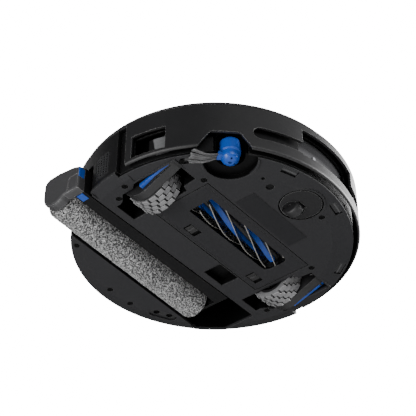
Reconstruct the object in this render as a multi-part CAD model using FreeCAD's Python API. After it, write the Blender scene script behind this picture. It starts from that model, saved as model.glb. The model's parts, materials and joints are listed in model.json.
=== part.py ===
import FreeCAD, Part
import math
import os

# Robot vacuum with a slide-out mop roller. Millimetres.
# +Z is up, Z = 0 is the floor under the loaded robot, and the origin is under the centre of the
# round body. The front faces -Y, so the robot's left is +X and its right is -X.

V = FreeCAD.Vector
ORIGIN = V(0, 0, 0)
X_AXIS = V(1, 0, 0)
Z_AXIS = V(0, 0, 1)

# ---- driving dimensions ----
PLATE_Z = 9.2            # underside of the base, above the floor
SHEET = 2.8              # wall thickness of the base and its wells
BODY_R = 175.0           # outer radius of the rear shell
FRONT_R = 168.0          # outer radius of the fixed wall behind the bumper
SHELL_WALL = 2.5
RIM_Z = 15.0             # height where the base meets the rear shell
SHELL_TOP_Z = 80.0
DECK_Z = 76.2            # underside of the deck
DECK_TOP_Z = 78.7
REAR_A0, REAR_A1 = 1.7, 179.0        # angles the rear shell spans

BUMPER_R = 176.5
BUMPER_WALL = 3.4
BUMPER_Z0, BUMPER_Z1 = 16.4, 82.0
BUMPER_A0, BUMPER_A1 = -176.5, -2.0  # angles the bumper spans

DOME_R = 171.0           # top shell
DOME_Z0 = 82.6
TOP_Z = 98.0
LID_R = 144.5
LID_FRONT_Y = -105.0

WHEEL_R = 30.5
WHEEL_X0, WHEEL_X1 = 104.5, 130.3
WHEEL_Y, WHEEL_Z = -6.0, 25.0
ARM_X0, ARM_X1 = 131.5, 148.5
ARM_END_R = 27.0
ARM_PIVOT_Y, ARM_PIVOT_Z, ARM_PIVOT_R = -50.0, 27.0, 12.0
WELL_X0, WELL_X1 = 102.6, 150.5
WELL_Y0, WELL_Y1 = -63.0, 39.5
WELL_TOP = 70.0
ARM_LIP_Z = 3.2          # underside of the arm's outer edge at its rear end
ARM_STEP_X, ARM_STEP_Y = 143.2, -9.6  # the arm is thinner behind this line

COVER_X, COVER_Y0, COVER_Y1 = 97.0, -68.7, 12.0
BRUSH_Y, BRUSH_Z = -38.0, 25.5
BRUSH_CORE_R, BRUSH_RIDGE_R, BRUSH_FIN_R = 7.5, 12.5, 20.5
BRUSH_HALF = 73.0
BRUSH_TURNS, BRUSH_RIDGES = 0.45, 4  # part of a turn each ridge makes, and how many ridges there are
BRUSH_START = 207.5                  # angle of the first ridge at the right end
LOW_FIN_LEAD, HIGH_FIN_LEAD = 34.0, -14.0    # angles from a ridge to its two fins
LATCHES = [(-52.0, -36.0), (68.5, 84.5)]     # x of both ends of each cover latch
BRUSH_OPENING_X, BRUSH_OPENING_Y0, BRUSH_OPENING_Y1 = 74.3, -55.0, -21.0
BAY_TOP = 48.0

SIDE_X, SIDE_Y = -111.3, -112.1      # side brush axis
SIDE_DISH_R, SIDE_DISH_Z = 31.4, 17.0
SIDE_POCKET_R, SIDE_POCKET_Z = 17.0, 43.0

CASTER_Y = -129.0
CASTER_R, CASTER_GAP = 24.9, 1.8
CASTER_WHEEL_Y, CASTER_WHEEL_Z, CASTER_WHEEL_R = -118.0, 12.7, 12.5

MOP_TILT = 2.0           # degrees between the roller's axis and X
MOP_Y, MOP_Z = 96.5, 18.5            # roller axis at x = 0
MOP_R, MOP_CORE_R = 21.0, 12.0
MOP_X0, MOP_X1 = -175.5, 83.0
CARRIAGE_Y0 = 51.0
CARRIAGE_TOP = 45.0
CAP_X0, CAP_X1 = -188.0, -177.0
BAY_MOP_X1, BAY_MOP_TOP = 140.0, 55.5

SCREW_R, SCREW_SEAT_R = 2.9, 3.9
SCREW_SINK = 0.7         # how far a screw head lies below the face round it
RUNNING = 0.05           # radial clearance of a shaft in its hole
GAP = 0.3                # gap between neighbouring covers

SCREWS = [(153.5, 8.5), (141.5, 28.0), (-153.5, 8.5), (-141.5, 28.0), (-143.7, -68.9), (105.0, -69.0),
          (-105.0, -69.0), (33.5, -135.0), (109.0, 124.5), (-109.0, 127.5), (19.0, 155.0), (-19.0, 155.0)]
CLIFF_SENSORS = [(-109.2, 160.9), (-78.1, 159.1), (-151.0, 159.2), (-35.7, 160.6)]   # angle, radius
CLIFF_HALF_LENGTH, CLIFF_HALF_WIDTH = 10.5, 4.6
PORT_X, PORT_Y, PORT_TURN = 65.0, 139.5, -25.0       # dock water port
BUTTON_Y, BUTTON_R = -123.0, 5.0
BUTTONS = [(9.0, 0.0), (0.0, 28.0)]      # half length between the round ends, and x
STATUS_X, STATUS_R = -26.0, 4.0          # ring-shaped status light
NOSE_A0, NOSE_A1 = -106.1, -73.9         # angles of the opening for the front sensors
BRISTLE_TURNS = (136.0, 152.0)           # directions of the two side brush bundles at rest
TREAD_COLUMNS, TREAD_ROWS = 4, 18

NODES = {}


# ---- small helpers ----
def box(x0, y0, z0, x1, y1, z1):
    return Part.makeBox(x1 - x0, y1 - y0, z1 - z0, V(x0, y0, z0))


def cyl(r, x, y, z0, z1):
    return Part.makeCylinder(r, z1 - z0, V(x, y, z0), Z_AXIS)


def cyl_x(r, x0, x1, y, z):
    return Part.makeCylinder(r, x1 - x0, V(x0, y, z), X_AXIS)


def revolved(profile, a0=0.0, a1=360.0):
    """A closed outline of (radius, height) points, turned about Z from angle a0 to a1."""
    wire = Part.makePolygon([V(r, 0, z) for r, z in profile + profile[:1]])
    solid = Part.Face(wire).revolve(ORIGIN, Z_AXIS, a1 - a0)
    solid.rotate(ORIGIN, Z_AXIS, a0)
    return solid


def sector(r0, r1, z0, z1, a0, a1):
    return revolved([(r0, z0), (r1, z0), (r1, z1), (r0, z1)], a0, a1)


def prism_z(points, z0, z1):
    wire = Part.makePolygon([V(x, y, z0) for x, y in points + points[:1]])
    return Part.Face(wire).extrude(V(0, 0, z1 - z0))


def prism_x(points, x0, x1):
    """An outline of (y, z) points, drawn out along X."""
    wire = Part.makePolygon([V(x0, y, z) for y, z in points + points[:1]])
    return Part.Face(wire).extrude(V(x1 - x0, 0, 0))


def arc_points(cx, cy, r, a0, a1, steps):
    span = [math.radians(a0 + (a1 - a0) * i / steps) for i in range(steps + 1)]
    return [(cx + r * math.cos(a), cy + r * math.sin(a)) for a in span]


def joined(shapes):
    return shapes[0].multiFuse(shapes[1:]).removeSplitter()


def cut(shape, tools):
    return shape.cut(Part.makeCompound(tools))


def mirrored_x(shape):
    return shape.mirror(ORIGIN, X_AXIS)


def tilted(shape):
    """Turn a piece built along X into the line of the mop roller."""
    shape = shape.copy()
    shape.rotate(V(0, MOP_Y, MOP_Z), Z_AXIS, MOP_TILT)
    return shape


def on_rim(angle, r, z):
    a = math.radians(angle)
    return V(r * math.cos(a), r * math.sin(a), z)


def put(name, *shapes):
    NODES[name] = shapes[0] if len(shapes) == 1 else Part.makeCompound(list(shapes))


# ---- chassis ----
def dish(flat_r, edge_r, edge_z, keep):
    """The shallow bottom: flat to flat_r, then rising to edge_z at edge_r."""
    outline = [(0.0, PLATE_Z), (flat_r, PLATE_Z), (edge_r, edge_z - SHEET), (edge_r, edge_z)]
    outline += [(flat_r, PLATE_Z + SHEET), (0.0, PLATE_Z + SHEET)]
    return revolved(outline).common(keep)


def wheel_well(z0, z1):
    """Space for one wheel and its arm: the plate's screw lobes narrow it at both ends."""
    front_lobe = [(WELL_X0, -42.0), (111.0, -44.5), (112.5, WELL_Y0)]
    rear_lobe = [(WELL_X1, -2.5), (144.8, 4.0), (144.8, 20.0), (136.2, 27.5), (133.6, 33.0)]
    outline = [(WELL_X0, WELL_Y1)] + front_lobe + [(WELL_X1, WELL_Y0)] + rear_lobe + [(133.6, WELL_Y1)]
    return prism_z(outline, z0, z1)


def mop_bay(grow, z0, z1):
    slope = math.tan(math.radians(MOP_TILT))
    y0 = 49.0 - grow
    y1 = 121.2 + grow
    x0, x1 = -200.0, BAY_MOP_X1 + grow
    outline = [(x0, y0), (x1, y0), (x1, y1 + slope * x1), (x0, y1 + slope * x0)]
    bay = prism_z(outline, z0, z1)
    side = cyl(169.5 + grow, 0, 0, z0, z1)
    return bay.common(joined([side, box(-200, y0, z0, 0, 150, z1)]))


def chassis_base():
    wall = SHEET - 0.8
    low = PLATE_Z - 2
    split_y = 5.0
    front = dish(142.0, FRONT_R - 0.4, 14.2, box(-200, -200, 0, 200, split_y, 40))
    rear = dish(160.0, BODY_R, RIM_Z, box(-200, split_y, 0, 200, 200, 40))
    lobe = dish(160.0, FRONT_R - 0.4, 14.2, box(-200, -6, 0, 200, split_y, 40))
    solids = [front, rear, lobe]
    voids = []
    rear_inside = cyl(172.2, 0, 0, PLATE_Z, 75).common(box(-200, 8, 0, 200, 200, 80))
    inside = joined([cyl(165.2, 0, 0, PLATE_Z, 75), rear_inside])

    well = wheel_well(low, WELL_TOP)
    shell = box(WELL_X0 - wall, WELL_Y0 - wall, PLATE_Z, WELL_X1 + wall, WELL_Y1 + wall, WELL_TOP + wall)
    shell = shell.common(inside)
    solids += [shell, mirrored_x(shell)]
    voids += [well, mirrored_x(well)]

    bay_x, bay_y0, bay_y1 = COVER_X + wall, COVER_Y0 - wall, COVER_Y1 + wall
    solids.append(box(-bay_x, bay_y0, PLATE_Z, bay_x, bay_y1, BAY_TOP + wall))
    seam = 4.0 * GAP
    voids.append(box(-COVER_X - seam, COVER_Y0 - seam, low, COVER_X + seam, COVER_Y1 + seam, 13.4))
    voids.append(box(-95, COVER_Y0 + 2, 13.3, 95, COVER_Y1 - 2, BAY_TOP))
    voids.append(box(-30, -16, BAY_TOP - 1, 30, 4, BAY_TOP + 4))

    solids.append(mop_bay(wall, PLATE_Z, BAY_MOP_TOP + wall).common(inside))
    voids.append(mop_bay(0.0, low, BAY_MOP_TOP))

    solids.append(cyl(SIDE_DISH_R + wall, SIDE_X, SIDE_Y, PLATE_Z, SIDE_DISH_Z + wall).common(inside))
    pocket_mid = math.degrees(math.atan2(SIDE_Y, SIDE_X))
    way_out = box(0, -SIDE_POCKET_R, low, 60, SIDE_POCKET_R, SIDE_POCKET_Z)
    way_out.rotate(ORIGIN, Z_AXIS, pocket_mid)
    way_out.translate(V(SIDE_X, SIDE_Y, 0))
    pocket = joined([cyl(SIDE_POCKET_R, SIDE_X, SIDE_Y, low, SIDE_POCKET_Z), way_out])
    pocket_shell = cyl(SIDE_POCKET_R + wall, SIDE_X, SIDE_Y, PLATE_Z, SIDE_POCKET_Z + wall)
    solids.append(pocket_shell.common(inside))
    voids += [cyl(SIDE_DISH_R, SIDE_X, SIDE_Y, low, SIDE_DISH_Z), pocket]
    voids.append(cyl(3.6, SIDE_X, SIDE_Y, SIDE_POCKET_Z - 1, SIDE_POCKET_Z + 4))

    solids.append(cyl(CASTER_R + CASTER_GAP + wall, 0, CASTER_Y, PLATE_Z, 30.5))
    solids.append(cyl(8.0, 0, CASTER_Y, 30.0, 42.0))
    voids.append(cyl(CASTER_R + CASTER_GAP, 0, CASTER_Y, low, 28.5))
    voids.append(cyl(4.0 + RUNNING, 0, CASTER_Y, 28.0, 45.0))

    solids.append(box(25.4, 12.0, PLATE_Z, 65.7, 42.0, 22.0))
    voids.append(box(27.4, 14.2, low, 63.7, 40.0, 20.0))

    voids += [cyl(5.0, -48.4, -120.3, low, PLATE_Z + 1.6), cyl(2.4, -65.0, -123.0, low, PLATE_Z + 1.6)]
    voids += [cyl(SCREW_SEAT_R, x, y, low, PLATE_Z + 2.2) for x, y in SCREWS]
    voids += [pocket_for_cliff_sensor(a, r) for a, r in CLIFF_SENSORS]
    port = dock_port_outline(low, PLATE_Z + 4.6)
    solids.append(dock_port_outline(PLATE_Z + 0.4, PLATE_Z + 7.0, 1.6).common(inside))
    voids.append(port)
    return cut(joined(solids), voids)


def pocket_for_cliff_sensor(angle, r, shrink=0.0, z0=PLATE_Z - 2, z1=PLATE_Z + 9.0):
    half_l, half_w = CLIFF_HALF_LENGTH - shrink, CLIFF_HALF_WIDTH - shrink
    slot = box(-half_w, -half_l, z0, half_w, half_l, z1)
    slot.translate(V(r, 0, 0))
    slot.rotate(ORIGIN, Z_AXIS, angle)
    return slot


def dock_port_outline(z0, z1, grow=0.0):
    """A rounded slot beside the rear rim, where the dock fills and drains the robot."""
    half, r = 12.0, 7.0 + grow
    slot = joined([cyl(r, -half, 0, z0, z1), cyl(r, half, 0, z0, z1), box(-half, -r, z0, half, r, z1)])
    slot.rotate(ORIGIN, Z_AXIS, PORT_TURN)
    slot.translate(V(PORT_X, PORT_Y, 0))
    return slot


def crosshead_screw(x, y):
    arm, half = 1.8, 0.4
    z0, z1 = PLATE_Z - 1, PLATE_Z + SCREW_SINK + 0.6
    cross = [box(x - arm, y - half, z0, x + arm, y + half, z1)]
    cross.append(box(x - half, y - arm, z0, x + half, y + arm, z1))
    return cut(cyl(SCREW_R, x, y, PLATE_Z + SCREW_SINK, PLATE_Z + 2.1), cross)


def chassis():
    put("chassis_base", chassis_base())
    windows = [pocket_for_cliff_sensor(a, r, 0.25, PLATE_Z + 3.2, PLATE_Z + 5.0) for a, r in CLIFF_SENSORS]
    put("cliff_sensor_windows", *windows)
    put("bottom_screws", *[crosshead_screw(x, y) for x, y in SCREWS])
    put("rating_plate", box(-52, -100, PLATE_Z - 0.35, 52, -72.5, PLATE_Z))
    ports = dock_port_outline(PLATE_Z + 2.2, PLATE_Z + 4.5, -0.3)
    holes = []
    for offset in (-9.0, 9.0):
        a = math.radians(PORT_TURN)
        centre = (PORT_X + offset * math.cos(a), PORT_Y + offset * math.sin(a))
        holes.append(cyl(4.2, *centre, PLATE_Z, PLATE_Z + 9))
    put("dock_water_port", cut(ports, holes))


# ---- shells ----
def body_shell():
    wall0 = BODY_R - SHELL_WALL
    outline = [(wall0, RIM_Z + 0.2), (BODY_R, RIM_Z + 0.2), (BODY_R, SHELL_TOP_Z - 3)]
    outline += arc_points(BODY_R - 3, SHELL_TOP_Z - 3, 3.0, 15, 90, 5)
    outline += [(165.2, SHELL_TOP_Z), (165.2, DECK_Z), (wall0, DECK_Z)]
    rear = revolved(outline, REAR_A0, REAR_A1)
    front_a0, front_a1 = REAR_A1 - 360.0, REAR_A0
    front = sector(FRONT_R - SHELL_WALL, FRONT_R, 14.6, DECK_TOP_Z, front_a0, front_a1)
    r0, r1, z0 = FRONT_R - 1, BODY_R - 0.2, RIM_Z + 0.2
    ends = [sector(r0, r1, z0, DECK_TOP_Z, a, a + 0.9) for a in (REAR_A0, REAR_A1 - 0.9)]
    deck = cyl(FRONT_R - 1, 0, 0, DECK_Z, DECK_TOP_Z)
    shell = joined([rear, front, deck] + ends)
    bay = box(-120, -75, DECK_Z - 1, 120, 114.5, SHELL_TOP_Z + 1)
    mop_slot = box(-190, 46.5, 0, -120, 121.0, 55.2)
    vent = sector(BODY_R - 4, BODY_R + 4, 21.5, 55.5, 166.8, 174.8)
    nose = sector(FRONT_R - 8, FRONT_R + 4, 31.0, 70.0, NOSE_A0, NOSE_A1)
    side_eye = sector(FRONT_R - 8, FRONT_R + 4, 20.5, 56.0, -174.2, -159.0)
    pocket_mid = math.degrees(math.atan2(SIDE_Y, SIDE_X))
    brush_gap = box(120, -SIDE_POCKET_R - 3, 0, 190, SIDE_POCKET_R + 3, SIDE_POCKET_Z + 1)
    brush_gap.rotate(ORIGIN, Z_AXIS, pocket_mid)
    buttons = box(-30, -150, DECK_Z - 1, 40, -95, SHELL_TOP_Z)
    return cut(shell, [bay, mop_slot, vent, nose, side_eye, brush_gap, buttons])


def vent_grille():
    a0, a1, z0, z1 = 167.1, 174.5, 22.0, 55.0
    plate = sector(BODY_R - 2.2, BODY_R - 0.1, z0, z1, a0, a1)
    columns, rows = 4, 8
    holes = []
    for i in range(columns):
        for j in range(rows):
            angle = a0 + (a1 - a0) * (i + 0.7) / (columns + 0.4)
            z = z0 + (z1 - z0) * (j + 0.7 + 0.3 * (i % 2)) / (rows + 0.7)
            direction = on_rim(angle, 1.0, 0)
            holes.append(Part.makeCylinder(1.3, 8.0, on_rim(angle, BODY_R - 5, z), direction))
    return cut(plate, holes)


def bumper():
    inner = BUMPER_R - BUMPER_WALL
    lip_r = 3.0
    outline = [(inner, BUMPER_Z0 + 0.4)] + arc_points(BUMPER_R - lip_r, BUMPER_Z0 + lip_r, lip_r, -90, 0, 7)
    outline.append((BUMPER_R, BUMPER_Z1 - 3))
    outline += arc_points(BUMPER_R - 3, BUMPER_Z1 - 3, 3.0, 15, 90, 5)
    outline += [(170.0, BUMPER_Z1), (170.0, BUMPER_Z1 - 2.6), (inner, BUMPER_Z1 - 2.6)]
    shell = revolved(outline, BUMPER_A0, BUMPER_A1)
    r0, r1 = inner - 5, BUMPER_R + 5
    slot_z0, slot_z1, slot_a0, slot_a1 = 33.0, 50.0, -124.0, -56.0
    slot_r = (slot_z1 - slot_z0) / 2
    nose = sector(r0, r1, 31.0, 70.0, NOSE_A0, NOSE_A1)
    side_eye = sector(r0, r1, 21.5, 54.5, -173.7, -159.6)
    windows = [sector(r0, r1, slot_z0, slot_z1, slot_a0, slot_a1), nose, side_eye]
    for a in (slot_a0, slot_a1):
        end = on_rim(a, r0, (slot_z0 + slot_z1) / 2)
        windows.append(Part.makeCylinder(slot_r, 15.0, end, on_rim(a, 1.0, 0)))
    low_half, high_half, high_z = 31.2, 17.0, 37.5
    mouth = [(-low_half, 0.0), (low_half, 0.0), (low_half, BUMPER_Z0), (high_half, high_z)]
    mouth += [(-high_half, high_z), (-low_half, BUMPER_Z0)]
    notch = prism_x(mouth, r0, r1)
    notch.rotate(ORIGIN, Z_AXIS, -137.3)
    return cut(shell, windows + [notch])


def top_shell():
    crown = [(160.0, DECK_TOP_Z + 0.2), (164.6, DECK_TOP_Z + 0.2), (164.6, DOME_Z0), (DOME_R, DOME_Z0)]
    steps = 8
    for i in range(steps + 1):
        a = math.radians(90.0 * i / steps)
        crown.append((150.0 + 21.0 * math.cos(a), 86.0 + 11.4 * math.sin(a)))
    crown += [(0.0, 97.4), (0.0, 92.6), (149.0, 92.6), (160.0, 88.0)]
    dome = revolved(crown)
    lid_bay = lid_outline(GAP, 94.7, TOP_Z + 1)
    access = lid_outline(-5.0, 90.0, 96.0)
    holes = [button_shape(half, x, 0.3, 90.0, 99.0) for half, x in BUTTONS]
    light = ring_z(STATUS_R + 1.2, STATUS_R - 1.2, STATUS_X, BUTTON_Y, 95.8, 99.0)
    return cut(dome, [lid_bay, access, light] + holes)


def lid_outline(grow, z0, z1):
    disc = cyl(LID_R + grow, 0, 0, z0, z1)
    return disc.common(box(-200, LID_FRONT_Y - grow, z0 - 1, 200, 200, z1 + 1))


def button_shape(half, x, grow, z0, z1):
    r = BUTTON_R + grow
    if half == 0.0:
        return cyl(r, x, BUTTON_Y, z0, z1)
    ends = [cyl(r, x - half, BUTTON_Y, z0, z1), cyl(r, x + half, BUTTON_Y, z0, z1)]
    return joined(ends + [box(x - half, BUTTON_Y - r, z0, x + half, BUTTON_Y + r, z1)])


def ring_z(r1, r0, x, y, z0, z1):
    return cyl(r1, x, y, z0, z1).cut(cyl(r0, x, y, z0 - 1, z1 + 1))


def shells():
    put("body_shell", body_shell())
    put("vent_grille", vent_grille())
    put("bumper", bumper())
    put("top_shell", top_shell())
    lid = lid_outline(-GAP, 95.0, TOP_Z)
    grip = cyl(16.0, 0, LID_R + 6, TOP_Z - 1.2, TOP_Z + 1)
    put("top_cover", lid.cut(grip))
    for name, (half, x) in zip(("start_button", "home_button"), BUTTONS):
        put(name, joined([button_shape(half, x, 0.0, 90.5, TOP_Z), button_shape(half, x, 1.2, 90.5, 91.9)]))
    put("status_light", ring_z(STATUS_R + 1.0, STATUS_R - 1.0, STATUS_X, BUTTON_Y, 96.0, 97.5))
    put("front_sensor_panel", sector(FRONT_R - 5.2, FRONT_R - 3.2, 31.5, 69.5, NOSE_A0 + 0.2, NOSE_A1 - 0.2))
    lenses = [Part.makeCylinder(r, 1.2, on_rim(a, FRONT_R - 3.15, z), on_rim(a, 1.0, 0))
              for a, z, r in ((-84.0, 47.0, 2.2), (-80.5, 47.0, 1.7), (-97.0, 47.0, 2.2))]
    put("front_sensor_lenses", *lenses)
    side = sector(FRONT_R - 4.5, FRONT_R - 2.9, 20.9, 50.0, -168.0, -159.2)
    put("side_sensor_panel", side)


# ---- wheels ----
def arm_outline(grow, x0, x1):
    big = cyl_x(ARM_END_R + grow, x0, x1, WHEEL_Y, WHEEL_Z)
    small = cyl_x(ARM_PIVOT_R + grow, x0, x1, ARM_PIVOT_Y, ARM_PIVOT_Z)
    dy, dz = ARM_PIVOT_Y - WHEEL_Y, ARM_PIVOT_Z - WHEEL_Z
    length = math.hypot(dy, dz)
    lean = math.degrees(math.atan2(dz, dy))
    spread = math.degrees(math.acos((ARM_END_R - ARM_PIVOT_R) / length))
    corners = []
    for sign in (1, -1):
        a = math.radians(lean + sign * spread)
        for cy, cz, r in ((WHEEL_Y, WHEEL_Z, ARM_END_R), (ARM_PIVOT_Y, ARM_PIVOT_Z, ARM_PIVOT_R)):
            corners.append((cy + (r + grow) * math.cos(a), cz + (r + grow) * math.sin(a)))
    web = prism_x([corners[0], corners[1], corners[3], corners[2]], x0, x1)
    return joined([big, small, web])


def tread_column(x0, x1, turn):
    """One ring of square blocks round the wheel, turned by an angle."""
    low, high = WHEEL_R - 4.4, WHEEL_R
    pitch = 360.0 / TREAD_ROWS
    outline = []
    for i in range(TREAD_ROWS):
        start = turn + pitch * i
        for r, part in ((low, 0.0), (high, 0.05), (high, 0.74), (low, 0.79)):
            a = math.radians(start + pitch * part)
            outline.append((WHEEL_Y + r * math.cos(a), WHEEL_Z + r * math.sin(a)))
    return prism_x(outline, x0, x1)


def tyre(lean):
    """The tread's rings of blocks, each turned a little further than the one before."""
    width = (WHEEL_X1 - WHEEL_X0) / TREAD_COLUMNS
    stagger = lean * 0.16 * 360.0 / TREAD_ROWS
    columns = []
    for i in range(TREAD_COLUMNS):
        x0 = WHEEL_X0 + width * i
        columns.append(tread_column(x0, x0 + width, stagger * i))
    return joined(columns).cut(cyl_x(WHEEL_R - 9.0, WHEEL_X0 - 1, WHEEL_X1 + 1, WHEEL_Y, WHEEL_Z))


def wheel_hub():
    r = WHEEL_R - 9.0
    hub = cyl_x(r, WHEEL_X0 + 1, WHEEL_X1 - 0.6, WHEEL_Y, WHEEL_Z)
    recess = cyl_x(r - 3.5, WHEEL_X0, WHEEL_X0 + 7, WHEEL_Y, WHEEL_Z)
    boss = cyl_x(7.0, WHEEL_X0 + 2, WHEEL_X0 + 9, WHEEL_Y, WHEEL_Z)
    bore = cyl_x(3.0 + RUNNING, WHEEL_X0 - 1, WHEEL_X1 + 1, WHEEL_Y, WHEEL_Z)
    windows = []
    for i in range(5):
        hole = cyl_x(3.6, WHEEL_X0 + 5, WHEEL_X1 + 1, WHEEL_Y + 12.5, WHEEL_Z)
        hole.rotate(V(0, WHEEL_Y, WHEEL_Z), X_AXIS, 72.0 * i)
        windows.append(hole)
    return cut(joined([hub.cut(recess), boss]), windows + [bore])


def wheel_arm():
    thin = box(ARM_STEP_X, ARM_STEP_Y, -20, ARM_X1 + 1, 60, 80)
    under = [(-70.0, -20.0), (0.0, -20.0), (0.0, ARM_LIP_Z - 3.2), (ARM_STEP_Y, ARM_LIP_Z)]
    under_lip = prism_x(under + [(-50.0, 15.0), (-70.0, 15.0)], ARM_STEP_X, ARM_X1 + 1)
    housing = cut(arm_outline(0.0, ARM_X0, ARM_X1), [thin, under_lip])
    inside = arm_outline(-3.0, ARM_X0 + 2.5, ARM_STEP_X - 2.5)
    pivot = cyl_x(4.0 + RUNNING, ARM_X0 - 1, ARM_X1 + 1, ARM_PIVOT_Y, ARM_PIVOT_Z)
    axle_seat = cyl_x(3.0, ARM_X0 - 1, ARM_X0 + 9, WHEEL_Y, WHEEL_Z)
    return cut(housing, [inside, pivot, axle_seat, arm_trim(0.15)])


def arm_trim(grow):
    """The coloured lip under the arm's outer edge: broad at its rear end, a thin line in front."""
    x1 = ARM_X1 + 0.5 + grow
    rear, front = ARM_STEP_Y - 0.5 + grow, -57.0 - grow
    side = [(rear, ARM_LIP_Z - 0.6 - grow), (-50.0, 14.4 - grow), (front, 17.0 - grow), (front, 20.0 + grow),
            (-50.0, 17.2 + grow), (-30.0, 11.6 + grow), (rear, ARM_LIP_Z + 3.0 + grow)]
    above = [(143.4 - grow, rear), (145.9 - grow, -30.0), (145.4 - grow, front), (x1, front), (x1, rear)]
    strip = prism_x(side, ARM_STEP_X - 1, x1).common(prism_z(above, -10, 40))
    return strip.common(arm_outline(0.6 + grow, ARM_X0, x1))


def wheel_nodes(side, flip):
    def place(shape):
        return mirrored_x(shape) if flip else shape
    gear_r = 15.0
    put(side + "_tyre", place(tyre(-1 if flip else 1)))
    put(side + "_wheel_hub", place(wheel_hub()))
    put(side + "_wheel_arm", place(wheel_arm()))
    put(side + "_arm_trim", place(arm_trim(0.0)))
    axle = cyl_x(3.0, WHEEL_X0 + 1, ARM_X0 + 2.5, WHEEL_Y, WHEEL_Z)
    gear = cyl_x(gear_r, ARM_X0 + 2.5, ARM_X0 + 6, WHEEL_Y, WHEEL_Z)
    motor = cyl_x(7.5, ARM_X0 + 2.5, ARM_STEP_X - 2.5, WHEEL_Y - 24.5, WHEEL_Z + 1)
    put(side + "_drive_train", place(motor), place(joined([gear, axle])))


def arm_pivot_pins():
    pin = cyl_x(4.0, ARM_X0 - 1.5, WELL_X1, ARM_PIVOT_Y, ARM_PIVOT_Z)
    put("arm_pivot_pins", pin, mirrored_x(pin))


# ---- main brush ----
def helix_blade(start, r0, r1, half_width, tip_share):
    """One blade winding round the brush, made of short ruled spans."""
    steps = 36
    rings = []
    for i in range(steps + 1):
        x = -BRUSH_HALF + 4 + (2 * BRUSH_HALF - 8) * i / steps
        a = math.radians(start + 360.0 * BRUSH_TURNS * i / steps)
        pts = []
        tip = half_width * tip_share
        for r, w in ((r0, half_width), (r1, tip), (r1, -tip), (r0, -half_width), (r0, 0.0)):
            t = a + w / r
            pts.append(V(x, BRUSH_Y + r * math.cos(t), BRUSH_Z + r * math.sin(t)))
        rings.append(Part.makePolygon(pts + pts[:1]))
    return Part.makeLoft(rings, True, True)


def brush_mouth(z0, z1):
    """The opening the brush shows through: square at the bearing end, round at the gearbox end."""
    round_r = 7.5
    x0, x1, y0, y1 = -BRUSH_OPENING_X, BRUSH_OPENING_X, BRUSH_OPENING_Y0, BRUSH_OPENING_Y1
    outline = [(x0, y1), (x0, y0)] + arc_points(x1 - round_r, y0 + round_r, round_r, -90, 0, 6)
    return prism_z(outline + arc_points(x1 - round_r, y1 - round_r, round_r, 0, 90, 6), z0, z1)


def brush_nodes():
    core = cyl_x(BRUSH_CORE_R, -BRUSH_HALF, BRUSH_HALF, BRUSH_Y, BRUSH_Z)
    pins = cyl_x(3.0, -BRUSH_HALF - 8, BRUSH_HALF + 8, BRUSH_Y, BRUSH_Z)
    put("main_brush_core", joined([core, pins]))
    starts = [BRUSH_START + 360.0 * k / BRUSH_RIDGES for k in range(BRUSH_RIDGES)]
    ridges = [helix_blade(a, BRUSH_CORE_R + 0.6, BRUSH_RIDGE_R, 3.4, 1.1) for a in starts]
    put("brush_blue_vanes", *ridges)
    low_fins = [helix_blade(a + LOW_FIN_LEAD, BRUSH_CORE_R + 0.2, BRUSH_FIN_R, 0.6, 0.7) for a in starts]
    high_fins = [helix_blade(a + HIGH_FIN_LEAD, BRUSH_RIDGE_R + 0.1, BRUSH_FIN_R, 0.5, 0.7) for a in starts]
    put("brush_bristle_fins", *(low_fins + high_fins))
    bearing = box(-95.0, -52, 14, -BRUSH_HALF - 2.5, -24, 40)
    put("brush_end_bearing", bearing.cut(cyl_x(3.0 + RUNNING, -96, -70, BRUSH_Y, BRUSH_Z)))
    gearbox = box(BRUSH_HALF + 2.5, -60, 14, 95.0, -20, 45)
    put("brush_gearbox", gearbox.cut(cyl_x(3.0 + RUNNING, 70, 90, BRUSH_Y, BRUSH_Z)))

    cover = box(-COVER_X, COVER_Y0, PLATE_Z, COVER_X, COVER_Y1, PLATE_Z + 3.6)
    mouth = brush_mouth(0, 20)
    seats = [box(x0 - 2.5, -7.5, 0, x1 + 2.5, 5.0, PLATE_Z + 2.4) for x0, x1 in LATCHES]
    groove = box(-COVER_X - 1, 8.6, 0, COVER_X + 1, 9.2, PLATE_Z + 0.5)
    lip = box(-COVER_X + 3, -64.5, 0, COVER_X - 3, -63.9, PLATE_Z + 0.5)
    put("brush_cover", cut(cover, [mouth, groove, lip] + seats))
    for name, (x0, x1) in zip(("right_cover_latch", "left_cover_latch"), LATCHES):
        slider = box(x0, -6.5, PLATE_Z + 0.4, x1 - 3.5, 4.0, PLATE_Z + 2.2)
        rib = box(x0 + 5, -6.5, PLATE_Z - 0.2, x0 + 7, 4.0, PLATE_Z + 0.5)
        put(name, joined([slider, rib]))


# ---- side brush and caster ----
def bristle_bundle():
    """One flat bundle along Y: it slopes down out of its socket, then runs level over the floor."""
    side = [(9.0, 14.0), (9.0, 16.6), (30.5, 8.4), (47.5, 7.4), (47.5, 5.4), (30.5, 6.0)]
    plan = [(-2.4, 9.0), (-4.2, 46.0), (4.2, 47.5), (2.4, 9.0)]
    return prism_x(side, -6, 6).common(prism_z(plan, 0, 20))


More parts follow.
